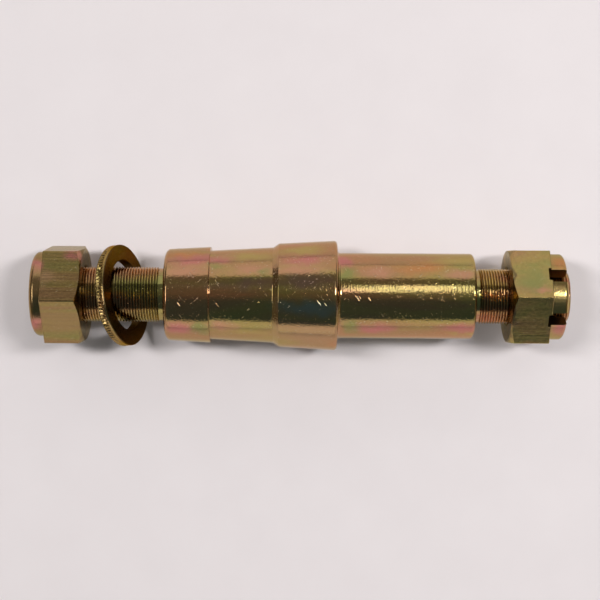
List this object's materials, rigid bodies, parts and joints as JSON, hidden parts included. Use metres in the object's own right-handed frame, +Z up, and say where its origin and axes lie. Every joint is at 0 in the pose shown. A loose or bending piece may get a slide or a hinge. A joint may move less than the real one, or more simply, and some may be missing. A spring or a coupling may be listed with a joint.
{
  "type": "connecting pin",
  "caption": "Tapered steel pin with a cylindrical journal and a threaded stud at each end, carrying a lock nut with a loose washer on one thread and a castle nut on the other.",
  "frame": {"origin": "centre of the bounding box, on the pin's axis at the middle of the whole length", "axes": "+X along the pin from the lock nut to the castle nut, +Z up as the pin lies on its side, -Y the near side"},
  "size_m": [0.29, 0.0596, 0.0596],
  "materials": {
    "pin_steel": "ground steel, yellow-passivated zinc with pink and green tints",
    "nut_steel": "drawn hexagon steel, yellow-green passivated zinc",
    "washer_steel": "stamped steel, dark brown-gold passivated zinc",
    "nylon": "natural nylon"
  },
  "bodies": {
    "pin": {"pin": "pin_steel", "washer": "washer_steel"},
    "lock_nut": {"lock_nut": "nut_steel", "nylon_insert": "nylon"},
    "castle_nut": {"castle_nut": "nut_steel"}
  },
  "joints": [
    {"name": "lock_nut_turn", "type": "hinge", "parent": "pin", "child": "lock_nut", "pos_m": [-0.1176, 0, 0], "axis": [1, 0, 0], "continuous": true},
    {"name": "castle_nut_turn", "type": "hinge", "parent": "pin", "child": "castle_nut", "pos_m": [0.1123, 0, 0], "axis": [1, 0, 0], "continuous": true}
  ]
}
